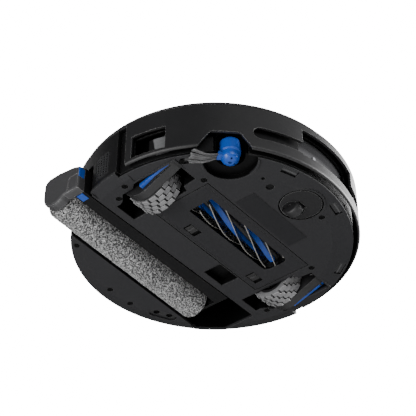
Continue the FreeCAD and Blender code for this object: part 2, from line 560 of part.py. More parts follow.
def side_brush_nodes():
    z0, z1, r, neck_r = 7.0, 38.2, 12.4, 10.7
    outline = [(0.0, z0)] + arc_points(2.7, z0 + 8.0, 8.0, -90, -4, 8)
    outline += [(neck_r, 19.4), (r, 20.6)] + arc_points(r - 5.0, z1 - 5.0, 5.0, 0, 90, 6) + [(0.0, z1)]
    hub = revolved(outline)
    hub.translate(V(SIDE_X, SIDE_Y, 0))
    stem = cyl(3.0, SIDE_X, SIDE_Y, z1 - 1, 49.0)
    seat = cyl(2.2, SIDE_X, SIDE_Y, 0, z0 + 1.5)
    bundles, sockets = [], []
    for turn in BRISTLE_TURNS:
        bundles.append(bristle_bundle())
        sockets.append(box(-2.8, 6.0, 12.2, 2.8, 15.2, 17.2))
        for piece in (bundles[-1], sockets[-1]):
            piece.rotate(ORIGIN, Z_AXIS, turn - 90.0)
            piece.translate(V(SIDE_X, SIDE_Y, 0))
    clear = joined(bundles).cut(cyl(15.7, SIDE_X, SIDE_Y, 0, 60))
    drain_spots = [(-3.6, -4.8), (5.4, -1.8)]
    drains = [cyl(1.3, SIDE_X + dx, SIDE_Y + dy, 0, z0 + 4.0) for dx, dy in drain_spots]
    put("side_brush_hub", cut(joined([hub, stem] + sockets), [seat] + drains))
    put("side_brush_bristles", clear)
    inward = 0.95
    motor = cyl(12.0, inward * SIDE_X, inward * SIDE_Y, SIDE_POCKET_Z + 2.0, 66.0)
    motor = motor.cut(cyl(3.0 + RUNNING, SIDE_X, SIDE_Y, SIDE_POCKET_Z, 50))
    put("side_brush_motor", motor)


def caster_nodes():
    top = 27.6
    disc = cyl(CASTER_R, 0, CASTER_Y, PLATE_Z + 0.4, top)
    stem = cyl(4.0, 0, CASTER_Y, top - 1, 41.0)
    slot = box(-7.3, CASTER_WHEEL_Y - 13.6, 0, 7.3, CASTER_WHEEL_Y + 13.6, 26.3)
    axle_r = 1.5
    hole = cyl_x(axle_r, -12, 12, CASTER_WHEEL_Y, CASTER_WHEEL_Z)
    dimple = cyl(13.4, 0, CASTER_WHEEL_Y, 0, CASTER_WHEEL_Z - axle_r - 0.3)
    inside = cyl(CASTER_R - 0.8, 0, CASTER_Y, 0, 30)
    swivel = cut(joined([disc, stem]), [slot.common(inside), dimple.common(inside), hole])
    put("caster_swivel", swivel)
    put("caster_axle", cyl_x(axle_r, -11.5, 11.5, CASTER_WHEEL_Y, CASTER_WHEEL_Z))
    wheel = cyl_x(CASTER_WHEEL_R, -6.5, 6.5, CASTER_WHEEL_Y, CASTER_WHEEL_Z)
    wheel = wheel.makeFillet(2.5, [e for e in wheel.Edges if e.Length > 50])
    put("caster_wheel", wheel.cut(cyl_x(axle_r + RUNNING, -8, 8, CASTER_WHEEL_Y, CASTER_WHEEL_Z)))


# ---- mop ----
def cap_outline(grow=0.0):
    """The mop end cap seen along X: flat front and top, round bottom."""
    bottom_y, bottom_z, r = 88.0, 22.0, 20.0 + grow
    front_y = CARRIAGE_Y0 - grow
    front = [(front_y, PLATE_Z - grow), (front_y, 43.0 + grow), (60.0, 46.2 + grow)]
    top = [(84.0, 49.6 + grow), (100.0, 49.0 + grow), (106.0 + grow, 46.0 + grow), (108.0 + grow, 41.0)]
    base = arc_points(bottom_y, bottom_z, r, 0, -140, 9)
    return front + top + base + [(64.0, PLATE_Z - grow)]


def cap_solid():
    """The cap's outer end is rounded over in three steps."""
    rings = []
    for x, grow in ((0.0, -3.2), (0.9, -1.2), (2.4, -0.3), (4.4, 0.0), (CAP_X1 - CAP_X0, 0.0)):
        points = [V(CAP_X0 + x, y, z) for y, z in cap_outline(grow)]
        rings.append(Part.makePolygon(points + points[:1]))
    return Part.makeLoft(rings, True, True)


def carriage_frame():
    slope = math.tan(math.radians(MOP_TILT))
    x0, x1 = CAP_X1 + 0.2, 88.5
    front = box(x0, CARRIAGE_Y0, PLATE_Z, x1, CARRIAGE_Y0 + 3, CARRIAGE_TOP)
    rear_x0, rear_x1 = -160.0, 77.0
    roof = prism_z([(x0, CARRIAGE_Y0), (x1, CARRIAGE_Y0), (x1, 106.0), (rear_x1, 119.0 + slope * rear_x1),
                    (rear_x0, 119.0 + slope * rear_x0), (x0, 106.0)], CARRIAGE_TOP - 3, CARRIAGE_TOP)
    beam = prism_z([(x0, CARRIAGE_Y0), (x1, CARRIAGE_Y0), (x1, 69.5), (x0, 65.0)], PLATE_Z, PLATE_Z + 3)
    skirt_y0, skirt_y1 = 118.6, 120.2
    near = [(rear_x0, skirt_y0 + slope * rear_x0), (rear_x1, skirt_y0 + slope * rear_x1)]
    far = [(rear_x1, skirt_y1 + slope * rear_x1), (rear_x0, skirt_y1 + slope * rear_x0)]
    skirt = prism_z(near + far, 16.0, CARRIAGE_TOP)
    end_y = MOP_Y + slope * 86.0
    arm = box(85.4, CARRIAGE_Y0, PLATE_Z, x1, end_y, 30.0)
    bracket = joined([arm, cyl_x(10.0, 85.4, x1, end_y, MOP_Z)])
    post = box(85.4, end_y - 6, MOP_Z, x1, end_y + 6, CARRIAGE_TOP)
    shoes = [box(x, y, CARRIAGE_TOP - 1, x + 20, y + 2.4, 52.0) for x in (-60, 40) for y in (56.8, 66.8)]
    frame = joined([front, roof, beam, skirt, bracket, post] + shoes)
    pin = tilted(cyl_x(4.0 + RUNNING, 80, 95, MOP_Y, MOP_Z))
    return cut(frame, [pin, release_latch(0.25, 4.0)])


def release_tab(grow, depth):
    x0, x1 = -186.4 - grow, -178.6 + grow
    return box(x0, CARRIAGE_Y0 - 0.8, 28.0 - grow, x1, CARRIAGE_Y0 + depth, 41.0 + grow)


def release_latch(grow, depth):
    y0 = 54.0
    return box(-176.0 - grow, y0 - grow, PLATE_Z - 0.8, -165.0 + grow, y0 + 9.0 + grow, PLATE_Z + depth)


def mop_nodes():
    put("mop_carriage_frame", carriage_frame())
    cap = cap_solid()
    seam = prism_x([(50.0, 30.5), (63.5, 30.5), (66.5, 26.0), (66.5, 8.0), (67.3, 8.0), (67.3, 26.5),
                    (64.0, 31.3), (50.0, 31.3)], CAP_X0 - 1, CAP_X0 + 1.2)
    pin_hole = tilted(cyl_x(4.0 + RUNNING, -183, -170, MOP_Y, MOP_Z))
    put("mop_end_cap", cut(cap, [seam, pin_hole, release_tab(0.25, 4.6)]))
    core = cyl_x(MOP_CORE_R, MOP_X0, MOP_X1, MOP_Y, MOP_Z)
    pins = cyl_x(4.0, MOP_X0 - 6, MOP_X1 + 5, MOP_Y, MOP_Z)
    put("mop_roller_core", tilted(joined([core, pins])))
    sleeve = cyl_x(MOP_R, MOP_X0 + 0.6, MOP_X1 - 0.6, MOP_Y, MOP_Z)
    sleeve = sleeve.makeFillet(4.0, [e for e in sleeve.Edges if e.Length > 100])
    put("mop_fabric", tilted(sleeve.cut(cyl_x(MOP_CORE_R + GAP, -200, 200, MOP_Y, MOP_Z))))
    scraper = prism_z([(-170, -23.9), (78, -23.9), (78, -22.6), (-170, -22.6)], 20.0, CARRIAGE_TOP - 3.2)
    scraper.translate(V(0, MOP_Y, 0))
    put("mop_scraper", tilted(scraper))
    put("mop_roller_motor", cyl_x(6.5, -120, -62, 61.5, 30.0))
    put("mop_release_tab", release_tab(0.0, 2.6))
    put("mop_release_latch", release_latch(0.0, 2.0))
    put("mop_slide_rail", box(-130, 59.6, 48.5, 135, 66.4, BAY_MOP_TOP - 0.2))


# ---- what is inside ----
def hollow_box(x0, y0, z0, x1, y1, z1, wall):
    hollow = box(x0 + wall, y0 + wall, z0 + wall, x1 - wall, y1 - wall, z1 - wall)
    return box(x0, y0, z0, x1, y1, z1).cut(hollow)


def inside_nodes():
    bin_z0, bin_z1 = BAY_TOP + 2.0, 89.5
    dustbin = hollow_box(-52, -68, bin_z0, 96, 38, bin_z1, 2.0)
    put("dustbin", dustbin.cut(box(-28, -14, bin_z0 - 1, 28, 2, bin_z0 + 4)))
    fan = cyl(20.5, -76, -28, bin_z0, 74.0)
    eye = cyl(8.0, -76, -28, 66.0, 75.0)
    put("suction_fan", fan.cut(eye))
    battery_z0, battery_z1 = 42.0, 64.0
    put("battery_pack", box(-55, -140, battery_z0, 55, -77, battery_z1))
    board = box(-60, -141, battery_z1, 60, -78, battery_z1 + 1.6)
    chips = [box(x, y, battery_z1 + 1.5, x + w, y + d, battery_z1 + 1.6 + h)
             for x, y, w, d, h in ((-40, -120, 18, 18, 2), (-10, -126, 24, 24, 3), (28, -112, 14, 20, 2),
                                   (-52, -95, 30, 8, 6), (10, -92, 36, 8, 6))]
    put("main_board", joined([board] + chips))
    tank_z0, tank_z1 = BAY_MOP_TOP + 2.0, 88.0
    put("clean_water_tank", hollow_box(-114, 42, tank_z0, -1, 110, tank_z1, 2.0))
    put("dirty_water_tank", hollow_box(1, 42, tank_z0, 114, 110, tank_z1, 2.0))
    floor_z = PLATE_Z + SHEET
    put("water_pump", cyl(12.0, -50, 139, floor_z, 40.0))
    put("speaker", cyl(16.0, 8, 141, floor_z, 28.0))
    contacts = [sector(BODY_R + 0.02, BODY_R + 0.6, 28.0, 38.0, a - 3.0, a + 3.0) for a in (80.0, 100.0)]
    put("charging_contacts", *contacts)
    switches = [box(-3.2, -5, 19.0, 3.2, 5, 52) for _ in range(2)]
    for switch, a in zip(switches, (-122.0, -52.0)):
        switch.translate(V(161.2, 0, 0))
        switch.rotate(ORIGIN, Z_AXIS, a)
    put("bumper_switches", *switches)


def build():
    chassis()
    shells()
    wheel_nodes("right", True)
    wheel_nodes("left", False)
    arm_pivot_pins()
    brush_nodes()
    side_brush_nodes()
    caster_nodes()
    mop_nodes()
    inside_nodes()
    os.makedirs("parts", exist_ok=True)
    for name, shape in NODES.items():
        shape.exportStep("parts/" + name + ".step")
        print(name, shape.isValid(), len(shape.Solids), round(shape.Volume / 1000.0, 2))


build()
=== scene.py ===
import bpy
import bmesh
import json
import math
import random
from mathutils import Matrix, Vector, noise


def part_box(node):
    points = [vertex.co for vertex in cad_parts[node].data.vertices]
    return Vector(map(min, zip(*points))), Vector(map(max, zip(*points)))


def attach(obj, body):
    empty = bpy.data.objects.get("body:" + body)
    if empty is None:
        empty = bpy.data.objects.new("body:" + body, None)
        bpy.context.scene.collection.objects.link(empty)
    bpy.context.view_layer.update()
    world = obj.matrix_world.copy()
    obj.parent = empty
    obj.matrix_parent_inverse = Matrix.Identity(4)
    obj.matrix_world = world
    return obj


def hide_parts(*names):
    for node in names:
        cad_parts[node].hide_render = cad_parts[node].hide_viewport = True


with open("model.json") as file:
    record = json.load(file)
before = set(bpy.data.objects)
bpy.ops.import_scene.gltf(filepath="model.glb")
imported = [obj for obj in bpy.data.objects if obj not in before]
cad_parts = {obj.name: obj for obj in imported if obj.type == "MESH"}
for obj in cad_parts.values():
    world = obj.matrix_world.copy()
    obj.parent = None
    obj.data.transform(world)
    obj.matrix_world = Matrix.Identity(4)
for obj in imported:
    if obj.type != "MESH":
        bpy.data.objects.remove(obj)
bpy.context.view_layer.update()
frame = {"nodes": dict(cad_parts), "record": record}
NODES = frame["nodes"]

# ---------------------------------------------------------------- sizes, in metres
# main brush: its axis runs along X
BRUSH_AXIS = (0.0, -0.038, 0.0255)
FIN_TIP_START, FIN_TIP_END = 0.0192, 0.0201

# mop roller: it lies a little askew to the X axis
MOP_TILT = math.radians(2.0)
MOP_AXIS = Vector((math.cos(MOP_TILT), math.sin(MOP_TILT), 0.0))
MOP_SIDE = Vector((-math.sin(MOP_TILT), math.cos(MOP_TILT), 0.0))
MOP_CENTRE = Vector((0.0, 0.0965, 0.0185))
MOP_RADIUS = 0.0208
PILE_START, PILE_END = -0.1748, 0.0822
PILE_THICKNESS = 0.0075
PILE_END_ROUND = 0.0045
LOOP_HEIGHT = 0.0010
YARN_SCALE, LUMP_SCALE = 620.0, 300.0      # of the noise that makes the loops
PILE_AROUND, PILE_ALONG = 230, 400

# drive tyres
TYRE_RADIUS, TYRE_WIDTH = 0.0303, 0.0254
BAND_DEPTH, BORE_DEPTH = 0.0042, 0.0087    # below the tread's top
BAND_INSET = 0.0006
BAND_STEPS = 72
TREAD_COLUMNS, TREAD_ROWS = 4, 16
TREAD_LEAN = 0.36           # how far each ring is turned from its neighbour, in blocks
BLOCK_SHARE = 0.92          # how much of its pitch a block fills
BLOCK_GAP = 0.0002          # at each side of a block
BLOCK_FOOT_DEPTH = 0.0046   # a block's foot sinks into the band
BLOCK_HEEL_DROP = 0.0016
BLOCK_DRAFT = 0.02          # radians
BLOCK_EDGE = 0.00035

# side brush
SIDE_CENTRE = Vector((-0.1113, -0.1121, 0.0))
BUNDLE_TURNS = (136.0, 152.0)              # degrees about the hub
HAIRS_PER_BUNDLE = 72
HAIR_ROOT, HAIR_REACH = 0.0125, 0.0475
HAIR_STEPS = 9
HAIR_WIDTH, HAIR_THICKNESS = 0.00048, 0.00036
HAIR_TAPER = 0.35
ROW_GAP = 0.22              # the empty middle of a bundle, as a share of its half width
FAN_AT_ROOT, FAN_ADDED = 2.0, 3.4          # degrees
BUNDLE_HALF_WIDTH = 0.0018
BUNDLE_DEPTH = 0.0012
OUTER_HAIR_SHORTER, UNEVEN_TIPS = 0.0025, 0.0009
BRISTLE_SEED = 4
ROOT_Z, BEND_REACH, FLOOR_RUN_Z = 0.0150, 0.031, 0.0068

# room and camera
ROOM_LIGHT, BACKDROP_LIGHT = 0.09, 18.0
TARGET = (0.0, 0.0, 0.03)
CAMERA_PLACE = (-0.93041, -0.75175, -0.94437)
CAMERA_TURN = (130.4155, -0.1397, -50.7725)    # degrees
CAMERA_LENS, CAMERA_SENSOR = 109.009, 36.0      # millimetres
FLOOR_HALF, FLOOR_Z = 5.0, -1.6


# ---------------------------------------------------------------- node helpers
def node(tree, kind, **values):
    """Adds a shader node. A keyword that starts with in_ sets an input, any other sets a property."""
    made = tree.nodes.new("ShaderNode" + kind)
    for key, value in values.items():
        if key.startswith("in_"):
            made.inputs[key[3:].replace("_", " ")].default_value = value
        else:
            setattr(made, key, value)
    return made


def feed(tree, socket, value):
    """Links a socket into this one, or sets this one to a plain value."""
    if isinstance(value, bpy.types.NodeSocket):
        tree.links.new(value, socket)
    else:
        socket.default_value = value


def math_node(tree, operation, *values, clamp=False):
    made = node(tree, "Math", operation=operation, use_clamp=clamp)
    for socket, value in zip(made.inputs, values):
        feed(tree, socket, value)
    return made.outputs[0]


def vector_node(tree, operation, a, b=None):
    """Works on vectors; returns the node, because some operations give a vector and some a number."""
    made = node(tree, "VectorMath", operation=operation)
    feed(tree, made.inputs[0], a)
    if b is not None:
        feed(tree, made.inputs[1], b)
    return made


def scaled_by(tree, colour, factor):
    made = vector_node(tree, "SCALE", colour)
    tree.links.new(factor, made.inputs["Scale"])
    return made.outputs[0]


def mix_colour(tree, factor, a, b):
    """Blends from colour a to colour b."""
    made = node(tree, "Mix", data_type="RGBA")
    for label, value in (("Factor_Float", factor), ("A_Color", a), ("B_Color", b)):
        feed(tree, next(s for s in made.inputs if s.identifier == label), value)
    return next(s for s in made.outputs if s.identifier == "Result_Color")


def ramp(tree, value, low, high, to_low=0.0, to_high=1.0):
    made = node(tree, "MapRange", clamp=True)
    tree.links.new(value, made.inputs["Value"])
    for name, number in (("From Min", low), ("From Max", high), ("To Min", to_low), ("To Max", to_high)):
        made.inputs[name].default_value = number
    return made.outputs["Result"]


def object_points(tree):
    return node(tree, "TexCoord").outputs["Object"]


def noise_at(tree, points, scale, detail, rough):
    made = node(tree, "TexNoise", in_Detail=detail, in_Roughness=rough)
    tree.links.new(points, made.inputs["Vector"])
    feed(tree, made.inputs["Scale"], scale)
    return made.outputs["Fac"]


def group(name, inputs, outputs):
    """A node group with named sockets. An input is (name, kind, default), an output is (name, kind)."""
    tree = bpy.data.node_groups.new(name, "ShaderNodeTree")
    for label, kind, value in inputs:
        socket = tree.interface.new_socket(name=label, in_out="INPUT", socket_type="NodeSocket" + kind)
        socket.default_value = value
    for label, kind in outputs:
        tree.interface.new_socket(name=label, in_out="OUTPUT", socket_type="NodeSocket" + kind)
    return tree, tree.nodes.new("NodeGroupInput"), tree.nodes.new("NodeGroupOutput")


def use_group(tree, which, **values):
    made = tree.nodes.new("ShaderNodeGroup")
    made.node_tree = which
    for key, value in values.items():
        made.inputs[key.replace("_", " ")].default_value = value
    return made


# ---------------------------------------------------------------- shader groups
def moulded_grain_group():
    """Spark-eroded mould texture: fine pits, slow cloudiness and a little dust."""
    tree, into, out = group(
        "moulded_grain",
        [("Colour", "Color", (0.05, 0.05, 0.05, 1)), ("Pit Scale", "Float", 900.0), ("Cloud", "Float", 0.15),
         ("Rough", "Float", 0.5), ("Dust", "Float", 0.04)],
        [("Colour", "Color"), ("Rough", "Float"), ("Height", "Float")])
    dust_colour = (0.55, 0.54, 0.52, 1)
    points = object_points(tree)
    pits = noise_at(tree, points, into.outputs["Pit Scale"], 3.0, 0.6)
    cloud = noise_at(tree, points, 18.0, 4.0, 0.55)
    specks = noise_at(tree, points, 700.0, 2.0, 0.7)
    cloud_step = math_node(tree, "SUBTRACT", cloud, 0.5)
    cloud_shade = math_node(tree, "MULTIPLY_ADD", cloud_step, into.outputs["Cloud"], 1.0)
    pit_shade = ramp(tree, pits, 0.3, 0.7, 0.86, 1.14)
    shade = math_node(tree, "MULTIPLY", cloud_shade, pit_shade)
    grained = scaled_by(tree, into.outputs["Colour"], shade)
    dust = math_node(tree, "MULTIPLY", ramp(tree, specks, 0.66, 0.78), into.outputs["Dust"])
    tree.links.new(mix_colour(tree, dust, grained, dust_colour), out.inputs["Colour"])
    wobble = ramp(tree, cloud, 0.3, 0.7, -0.05, 0.05)
    rough = math_node(tree, "ADD", into.outputs["Rough"], wobble, clamp=True)
    tree.links.new(rough, out.inputs["Rough"])
    tree.links.new(pits, out.inputs["Height"])
    return tree


def hairline_group():
    """Long fine hairline marks, for metal."""
    tree, into, out = group(
        "hairlines",
        [("Scale", "Float", 60.0), ("Stretch", "Float", 30.0)],
        [("Mask", "Float")])
    stretch = node(tree, "CombineXYZ", in_X=1.0, in_Z=1.0)
    tree.links.new(into.outputs["Stretch"], stretch.inputs["Y"])
    points = vector_node(tree, "MULTIPLY", object_points(tree), stretch.outputs[0])
    lines = noise_at(tree, points.outputs[0], into.outputs["Scale"], 4.0, 0.7)
    tree.links.new(ramp(tree, lines, 0.35, 0.65), out.inputs["Mask"])
    return tree


def relief_group():
    """Where a moulding has an outer edge, and how deep in a corner or pocket a spot lies: the masks for a
    painted highlight along edges and painted shade in corners.
    """
    tree, into, out = group(
        "edges_and_crevices",
        [("Edge Width", "Float", 0.0006), ("Reach", "Float", 0.012)],
        [("Edge", "Float"), ("Open", "Float")])
    rounded = node(tree, "Bevel", samples=4)
    tree.links.new(into.outputs["Edge Width"], rounded.inputs["Radius"])
    surface = node(tree, "NewGeometry")
    facing = vector_node(tree, "DOT_PRODUCT", rounded.outputs[0], surface.outputs["Normal"])
    edge_highlight = ramp(tree, facing.outputs["Value"], 0.80, 0.985, 1.0, 0.0)
    shade = node(tree, "AmbientOcclusion", samples=6)
    tree.links.new(into.outputs["Reach"], shade.inputs["Distance"])
    tree.links.new(edge_highlight, out.inputs["Edge"])
    tree.links.new(shade.outputs["AO"], out.inputs["Open"])
    return tree


GRAIN = moulded_grain_group()
RELIEF = relief_group()
HAIRLINES = hairline_group()


# ---------------------------------------------------------------- kinds of material
def new_material(name):
    made = bpy.data.materials.new(name)
    made.use_nodes = True
    return made, made.node_tree, made.node_tree.nodes["Principled BSDF"]


def bump_into(tree, shader, height, strength, distance, soft_edge=0.0):
    """Fine relief; soft_edge also rounds the light along sharp edges."""
    made = node(tree, "Bump", in_Strength=strength, in_Distance=distance)
    tree.links.new(height, made.inputs["Height"])
    if soft_edge:
        rounded = node(tree, "Bevel", samples=4, in_Radius=soft_edge)
        tree.links.new(rounded.outputs[0], made.inputs["Normal"])
    tree.links.new(made.outputs[0], shader.inputs["Normal"])


def plastic(name, colour, rough=0.5, pit_scale=900.0, cloud=0.15, dust=0.04, pit_depth=0.00008,
            soft_edge=0.0005, coat=0.0, specular=0.5, edge_highlight=0.5, edge_highlight_tint=0.12, crevice_shade=0.85):
    """A moulded plastic: grained, a little dusty, with a painted highlight along its edges and painted shade
    in its crevices.
    """
    made, tree, shader = new_material(name)
    grain = use_group(
        tree, GRAIN, Colour=(*colour, 1), Pit_Scale=pit_scale, Cloud=cloud, Rough=rough, Dust=dust)
    relief = use_group(tree, RELIEF, Edge_Width=soft_edge * 1.4)
    # painted shade: the colour darkens where ambient occlusion finds a corner or pocket
    shade = ramp(tree, relief.outputs["Open"], 0.15, 0.85, 1.0 - crevice_shade, 1.0)
    shaded = scaled_by(tree, grain.outputs["Colour"], shade)
    # painted highlight: the colour turns paler along outer edges, less where shade is painted
    open_edge = math_node(tree, "MULTIPLY", relief.outputs["Edge"], shade)
    painted_edge_highlight = math_node(tree, "MULTIPLY", open_edge, edge_highlight)
    edge_highlight_colour = tuple(c + edge_highlight_tint * (1 - c) for c in colour)
    tree.links.new(mix_colour(tree, painted_edge_highlight, shaded, (*edge_highlight_colour, 1)), shader.inputs["Base Color"])
    tree.links.new(grain.outputs["Rough"], shader.inputs["Roughness"])
    bump_into(tree, shader, grain.outputs["Height"], 0.5, pit_depth, soft_edge)
    shader.inputs["Coat Weight"].default_value = coat
    shader.inputs["Specular IOR Level"].default_value = specular
    return made


def metal(name, colour, rough=0.35):
    """A drawn or plated metal with fine marks along it."""
    made, tree, shader = new_material(name)
    marks = use_group(tree, HAIRLINES).outputs["Mask"]
    marked = tuple(0.8 * c for c in colour)
    tree.links.new(mix_colour(tree, marks, (*marked, 1), (*colour, 1)), shader.inputs["Base Color"])
    tree.links.new(ramp(tree, marks, 0, 1, rough - 0.06, rough + 0.08), shader.inputs["Roughness"])
    shader.inputs["Metallic"].default_value = 1.0
    bump_into(tree, shader, marks, 0.3, 0.00005, 0.0003)
    return made


def distance_from(tree, points, across):
    """How far a spot lies from the origin, counting only the directions given in across."""
    flat = vector_node(tree, "MULTIPLY", points, across)
    return vector_node(tree, "LENGTH", flat.outputs[0]).outputs["Value"]


def masked(material, mask_of, colour):
    """Blends another colour over a material where mask_of says."""
    tree = material.node_tree
    socket = tree.nodes["Principled BSDF"].inputs["Base Color"]
    below = socket.links[0].from_socket
    points = object_points(tree)
    parts = node(tree, "SeparateXYZ")
    tree.links.new(points, parts.inputs[0])
    reach = distance_from(tree, points, (1, 1, 0))
    mask = mask_of(tree, parts.outputs["Y"], parts.outputs["Z"], reach)
    tree.links.new(mix_colour(tree, mask, below, (*colour, 1)), socket)
    return material


# ---------------------------------------------------------------- where a second colour shows
def pocket_shade(start, radius):
    """Higher than start, and nearer the centre than radius: the insides of the wells and seats, which are
    painted in shade.
    """
    def mask(tree, y, z, reach):
        deep = ramp(tree, z, start, start + 0.0006)
        inside = ramp(tree, reach, radius, radius + 0.002, 1.0, 0.0)
        return math_node(tree, "MULTIPLY", deep, inside)
    return mask


def shade_inside_skin(radius):
    """Nearer the centre than radius: the cut sides of holes through a wall, which are painted in shade."""
    def mask(tree, y, z, reach):
        return ramp(tree, reach, radius - 0.0004, radius, 1.0, 0.0)
    return mask


def ring_band(r0, r1):
    """Between two distances from the centre."""
    def mask(tree, y, z, reach):
        past_r0 = ramp(tree, reach, r0 - 0.0003, r0)
        before_r1 = ramp(tree, reach, r1, r1 + 0.0003, 1.0, 0.0)
        return math_node(tree, "MULTIPLY", past_r0, before_r1)
    return mask


def window_slant(tree, y, z, reach):
    """The dark half of the side window, behind a slanted line."""
    lean = math_node(tree, "MULTIPLY", z, 0.153)
    return ramp(tree, math_node(tree, "SUBTRACT", y, lean), -0.0469, -0.0464)


def window_glow(tree, y, z, reach):
    """The lower part of the front window, which is paler."""
    return ramp(tree, z, 0.030, 0.056, 1.0, 0.1)


# ---------------------------------------------------------------- materials of single pieces
# painted shade: the near-black put into wells, seats and the insides of holes
SHADE_BLACK = (0.0012, 0.0012, 0.0013)
SMOOTH = {"pit_scale": 300.0, "cloud": 0.1, "dust": 0.0}
LENS_SKIN = {**SMOOTH, "pit_depth": 0.00001}


def chassis_material():
    made = plastic("chassis_moulding", (0.0270, 0.0270, 0.0290), pit_scale=1000.0, cloud=0.2, edge_highlight=0.6,
                   specular=0.12)
    # painted shade: near-black inside the wells and seats of the chassis
    masked(made, pocket_shade(0.0103, 0.140), SHADE_BLACK)
    return masked(made, pocket_shade(0.0122, 0.173), SHADE_BLACK)


def brush_cover_material():
    made = plastic("cover_moulding", (0.0235, 0.0235, 0.0255), pit_scale=1000.0, cloud=0.2, specular=0.12)
    # painted shade: near-black inside the cover's wells
    return masked(made, pocket_shade(0.0101, 0.140), SHADE_BLACK)


def rear_shell_material():
    made = plastic("rear_shell", (0.0050, 0.0050, 0.0055), rough=0.52, pit_scale=1300.0, specular=0.2)
    # painted shade: near-black on the inner sides of the shell
    return masked(made, shade_inside_skin(0.166), SHADE_BLACK)


def vent_material():
    made = plastic("vent_moulding", (0.0200, 0.0200, 0.0215), rough=0.52, pit_scale=1300.0, edge_highlight=0.0,
                   specular=0.2)
    # painted shade: near-black inside the vent holes
    return masked(made, shade_inside_skin(0.1744), SHADE_BLACK)


def bumper_material():
    made = plastic("bumper_moulding", (0.0090, 0.0090, 0.0098), pit_scale=1300.0, edge_highlight=0.8, edge_highlight_tint=0.3)
    # painted shade: near-black on the inner sides of the bumper and its openings
    return masked(made, shade_inside_skin(0.1740), SHADE_BLACK)


def mop_cap_material():
    # painted highlight: strong and pale along the cap's edges
    return plastic("mop_cap_moulding", (0.042, 0.042, 0.044), rough=0.42, pit_scale=1300.0, edge_highlight=1.0,
                   edge_highlight_tint=0.45)


def mop_tray_material():
    return plastic("mop_tray_moulding", (0.0050, 0.0050, 0.0055), pit_scale=1100.0, edge_highlight_tint=0.1,
                   specular=0.15)


def side_window_material():
    made = plastic("side_window_grey", (0.14, 0.142, 0.146), rough=0.4, pit_scale=600.0, cloud=0.1,
                   dust=0.02)
    return masked(made, window_slant, (0.004, 0.004, 0.0045))


def front_window_material():
    made = plastic("front_window_smoke", (0.008, 0.008, 0.009), rough=0.2, **SMOOTH)
    return masked(made, window_glow, (0.17, 0.17, 0.175))


def cliff_window_material():
    made = plastic("cliff_window", (0.004, 0.004, 0.005), rough=0.2, **SMOOTH)
    return masked(made, ring_band(0.1594, 0.1610), (0.05, 0.05, 0.052))


def cover_latch_material():
    made = plastic("latch_slider", (0.014, 0.014, 0.015), rough=0.45, pit_scale=1200.0, edge_highlight=0.8)
    # painted shade: darker where the slider sits back above the plate's face
    return masked(made, pocket_shade(0.0093, 0.140), (0.003, 0.003, 0.0032))


def caster_material():
    made = plastic("caster_moulding", (0.014, 0.014, 0.015), rough=0.42, pit_scale=1100.0, edge_highlight=0.9,
                   edge_highlight_tint=0.35, specular=0.2)
    # painted shade: darker inside the hole the caster sits in
    return masked(made, pocket_shade(0.0125, 0.160), (0.004, 0.004, 0.0042))


def bristle_row_material():
    """A row of fine bristles on the main brush: see-through between the hairs, pale at the tips."""
    made, tree, shader = new_material("bristle_row")
    points = object_points(tree)
    from_axis = vector_node(tree, "SUBTRACT", points, BRUSH_AXIS)
    radius = distance_from(tree, from_axis.outputs[0], (0, 1, 1))
    parts = node(tree, "SeparateXYZ")
    tree.links.new(points, parts.inputs[0])
    along = node(tree, "CombineXYZ")
    tree.links.new(parts.outputs["X"], along.inputs["X"])
    hairs = noise_at(tree, along.outputs[0], 1900.0, 1.0, 0.5)
    tip = ramp(tree, radius, FIN_TIP_START, FIN_TIP_END)
    colour = mix_colour(tree, tip, (0.010, 0.010, 0.011, 1), (0.42, 0.41, 0.38, 1))
    tree.links.new(colour, shader.inputs["Base Color"])
    hair_alpha = ramp(tree, hairs, 0.42, 0.56, 0.15, 0.9)
    tip_alpha = ramp(tree, radius, 0.0188, 0.0200, 0.0, 0.55)
    tree.links.new(math_node(tree, "ADD", hair_alpha, tip_alpha, clamp=True), shader.inputs["Alpha"])
    tree.links.new(ramp(tree, hairs, 0.3, 0.7, 0.28, 0.45), shader.inputs["Roughness"])
    return made


def mop_pile_material():
    """Looped pile in pale and dark yarn."""
    made, tree, shader = new_material("mop_looped_pile")
    points = object_points(tree)
    yarn = noise_at(tree, points, YARN_SCALE, 2.0, 0.75)
    clump = noise_at(tree, points, 170.0, 3.0, 0.6)
    speck = ramp(tree, yarn, 0.48, 0.57)
    mixed = math_node(tree, "MULTIPLY", speck, ramp(tree, clump, 0.28, 0.66, 0.5, 1.0))
    colour = mix_colour(tree, mixed, (0.006, 0.006, 0.0065, 1), (0.62, 0.62, 0.62, 1))
    tree.links.new(colour, shader.inputs["Base Color"])
    shader.inputs["Roughness"].default_value = 0.95
    shader.inputs["Sheen Weight"].default_value = 0.25
    bump_into(tree, shader, yarn, 0.9, 0.0009)
    return made
